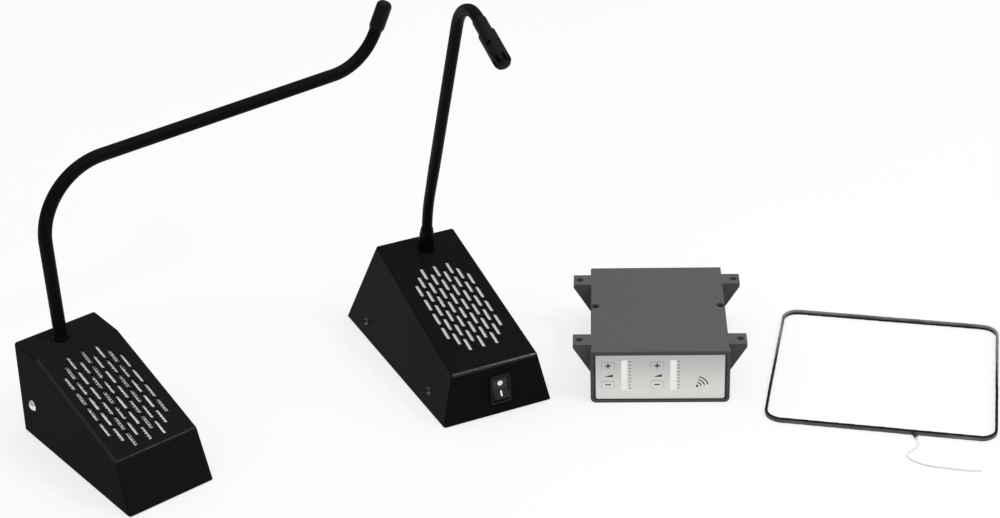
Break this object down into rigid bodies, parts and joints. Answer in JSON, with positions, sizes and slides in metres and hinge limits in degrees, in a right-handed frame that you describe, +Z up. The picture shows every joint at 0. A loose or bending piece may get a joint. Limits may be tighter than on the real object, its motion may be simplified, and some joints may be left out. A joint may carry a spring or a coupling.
{
  "type": "teller window intercom",
  "caption": "Counter intercom kit: wedge-shaped speaker housings with gooseneck microphones, a small amplifier with level keys and mounting lugs, and a flat induction loop.",
  "frame": {"origin": "centre of the amplifier's underside, on the surface that all four devices stand on", "axes": "+X to the amplifier's right, +Y from its front panel to its back, +Z up"},
  "size_m": [0.6842, 0.3026, 0.2932],
  "materials": {
    "black_coat": "fine black powder coat",
    "neck_black": "smooth semi-matt black",
    "plate_steel": "black powder coat",
    "screw_black": "blackened steel",
    "screw_bright": "bright plated",
    "hardware": "zinc plated",
    "rubber_black": "matt",
    "grille_pale": "pale woven mesh",
    "speaker_frame": "pressed steel, zinc plated",
    "speaker_cone": "coated paper",
    "magnet": "ferrite and steel",
    "mic_black": "matt black",
    "capsule": "capsule can and mesh",
    "switch_black": "moulded, semi-gloss",
    "terminal_metal": "tin plated",
    "board_green": "circuit board",
    "case_grey": "fine texture",
    "panel_silver": "satin, printed",
    "key_silver": "satin",
    "lens_pale": "milky",
    "plastic_black": "moulded",
    "terminal_green": "moulded",
    "sleeve_black": "flexible sleeve, slight sheen",
    "copper": "copper wire",
    "lead_white": "thin flexible sheath",
    "tinned": "tinned wire"
  },
  "bodies": {
    "amplifier": {"amp_case_upper": "case_grey", "amp_case_lower": "case_grey", "amp_case_screws": "screw_black", "amp_front_panel": "panel_silver", "amp_back_panel": "panel_silver", "amp_light_bars": "lens_pale", "amp_key_board": "board_green", "amp_main_board": "board_green", "amp_power_jack": "plastic_black", "amp_unit_sockets": "plastic_black", "amp_loop_terminal": "terminal_green"},
    "staff_unit": {"staff_housing": "black_coat", "staff_base_plate": "plate_steel", "staff_side_screws": "screw_black", "staff_feet": "rubber_black", "staff_grille": "grille_pale", "staff_speaker_frame": "speaker_frame", "staff_speaker_cone": "speaker_cone", "staff_speaker_magnet": "magnet", "staff_speaker_nuts": "hardware", "staff_neck_ferrule": "neck_black", "staff_neck_nut": "hardware", "staff_cable_grommet": "rubber_black", "staff_neck_lower": "neck_black", "staff_neck_flex": "neck_black", "staff_switch_body": "switch_black", "staff_switch_tabs": "terminal_metal", "staff_circuit_board": "board_green"},
    "staff_switch": {"staff_switch_rocker": "switch_black"},
    "staff_neck": {"staff_neck_stem": "neck_black", "staff_neck_tip_flex": "neck_black"},
    "staff_mic": {"staff_mic_body": "mic_black", "staff_mic_capsule": "capsule"},
    "customer_unit": {"customer_housing": "black_coat", "customer_base_plate": "plate_steel", "customer_side_screws": "screw_bright", "customer_feet": "rubber_black", "customer_grille": "grille_pale", "customer_speaker_frame": "speaker_frame", "customer_speaker_cone": "speaker_cone", "customer_speaker_magnet": "magnet", "customer_speaker_nuts": "hardware", "customer_neck_ferrule": "neck_black", "customer_neck_nut": "hardware", "customer_cable_grommet": "rubber_black", "customer_neck_lower": "neck_black", "customer_neck_flex": "neck_black"},
    "customer_neck": {"customer_neck_arm": "neck_black", "customer_neck_tip_flex": "neck_black"},
    "customer_mic": {"customer_mic_body": "mic_black", "customer_mic_capsule": "capsule"},
    "loop": {"loop_sleeve": "sleeve_black", "loop_winding": "copper", "loop_lead_exit": "sleeve_black", "loop_lead": "lead_white", "loop_lead_tip": "tinned"},
    "key_a_up": {"amp_key_a_up": "key_silver"},
    "key_a_down": {"amp_key_a_down": "key_silver"},
    "key_b_up": {"amp_key_b_up": "key_silver"},
    "key_b_down": {"amp_key_b_down": "key_silver"}
  },
  "joints": [
    {"name": "staff_unit_on_counter", "type": "slide", "parent": "amplifier", "child": "staff_unit", "axis": [0, -1, 0], "range_m": [0, 0.1]},
    {"name": "customer_unit_on_counter", "type": "slide", "parent": "amplifier", "child": "customer_unit", "axis": [-1, 0, 0], "range_m": [0, 0.1]},
    {"name": "loop_on_counter", "type": "slide", "parent": "amplifier", "child": "loop", "axis": [1, 0, 0], "range_m": [0, 0.1]},
    {"name": "staff_switch_rock", "type": "hinge", "parent": "staff_unit", "child": "staff_switch", "pos_m": [-0.11089, -0.06907, 0.0203], "axis": [0.8949, 0.4462, 0], "range_deg": [0, 22]},
    {"name": "staff_neck_bend", "type": "hinge", "parent": "staff_unit", "child": "staff_neck", "pos_m": [-0.1613, 0.03316, 0.1128], "axis": [0.8949, 0.4462, 0], "range_deg": [-20, 25], "deforming": ["staff_neck_flex"]},
    {"name": "staff_mic_tilt", "type": "hinge", "parent": "staff_neck", "child": "staff_mic", "pos_m": [-0.12654, -0.03656, 0.2832], "axis": [0.8949, 0.4462, 0], "range_deg": [-40, 30], "deforming": ["staff_neck_tip_flex"]},
    {"name": "customer_neck_bend", "type": "hinge", "parent": "customer_unit", "child": "customer_neck", "pos_m": [-0.39384, -0.07161, 0.1774], "axis": [0.6639, -0.7478, 0], "range_deg": [-20, 25], "deforming": ["customer_neck_flex"]},
    {"name": "customer_mic_tilt", "type": "hinge", "parent": "customer_neck", "child": "customer_mic", "pos_m": [-0.21384, 0.0882, 0.1958], "axis": [0.6639, -0.7478, 0], "range_deg": [-35, 25], "deforming": ["customer_neck_tip_flex"]},
    {"name": "key_a_up_press", "type": "slide", "parent": "amplifier", "child": "key_a_up", "axis": [0, 1, 0], "range_m": [0, 0.0005], "stiffness_N_per_m": 800, "springref_m": -0.0005},
    {"name": "key_a_down_press", "type": "slide", "parent": "amplifier", "child": "key_a_down", "axis": [0, 1, 0], "range_m": [0, 0.0005], "stiffness_N_per_m": 800, "springref_m": -0.0005},
    {"name": "key_b_up_press", "type": "slide", "parent": "amplifier", "child": "key_b_up", "axis": [0, 1, 0], "range_m": [0, 0.0005], "stiffness_N_per_m": 800, "springref_m": -0.0005},
    {"name": "key_b_down_press", "type": "slide", "parent": "amplifier", "child": "key_b_down", "axis": [0, 1, 0], "range_m": [0, 0.0005], "stiffness_N_per_m": 800, "springref_m": -0.0005}
  ]
}
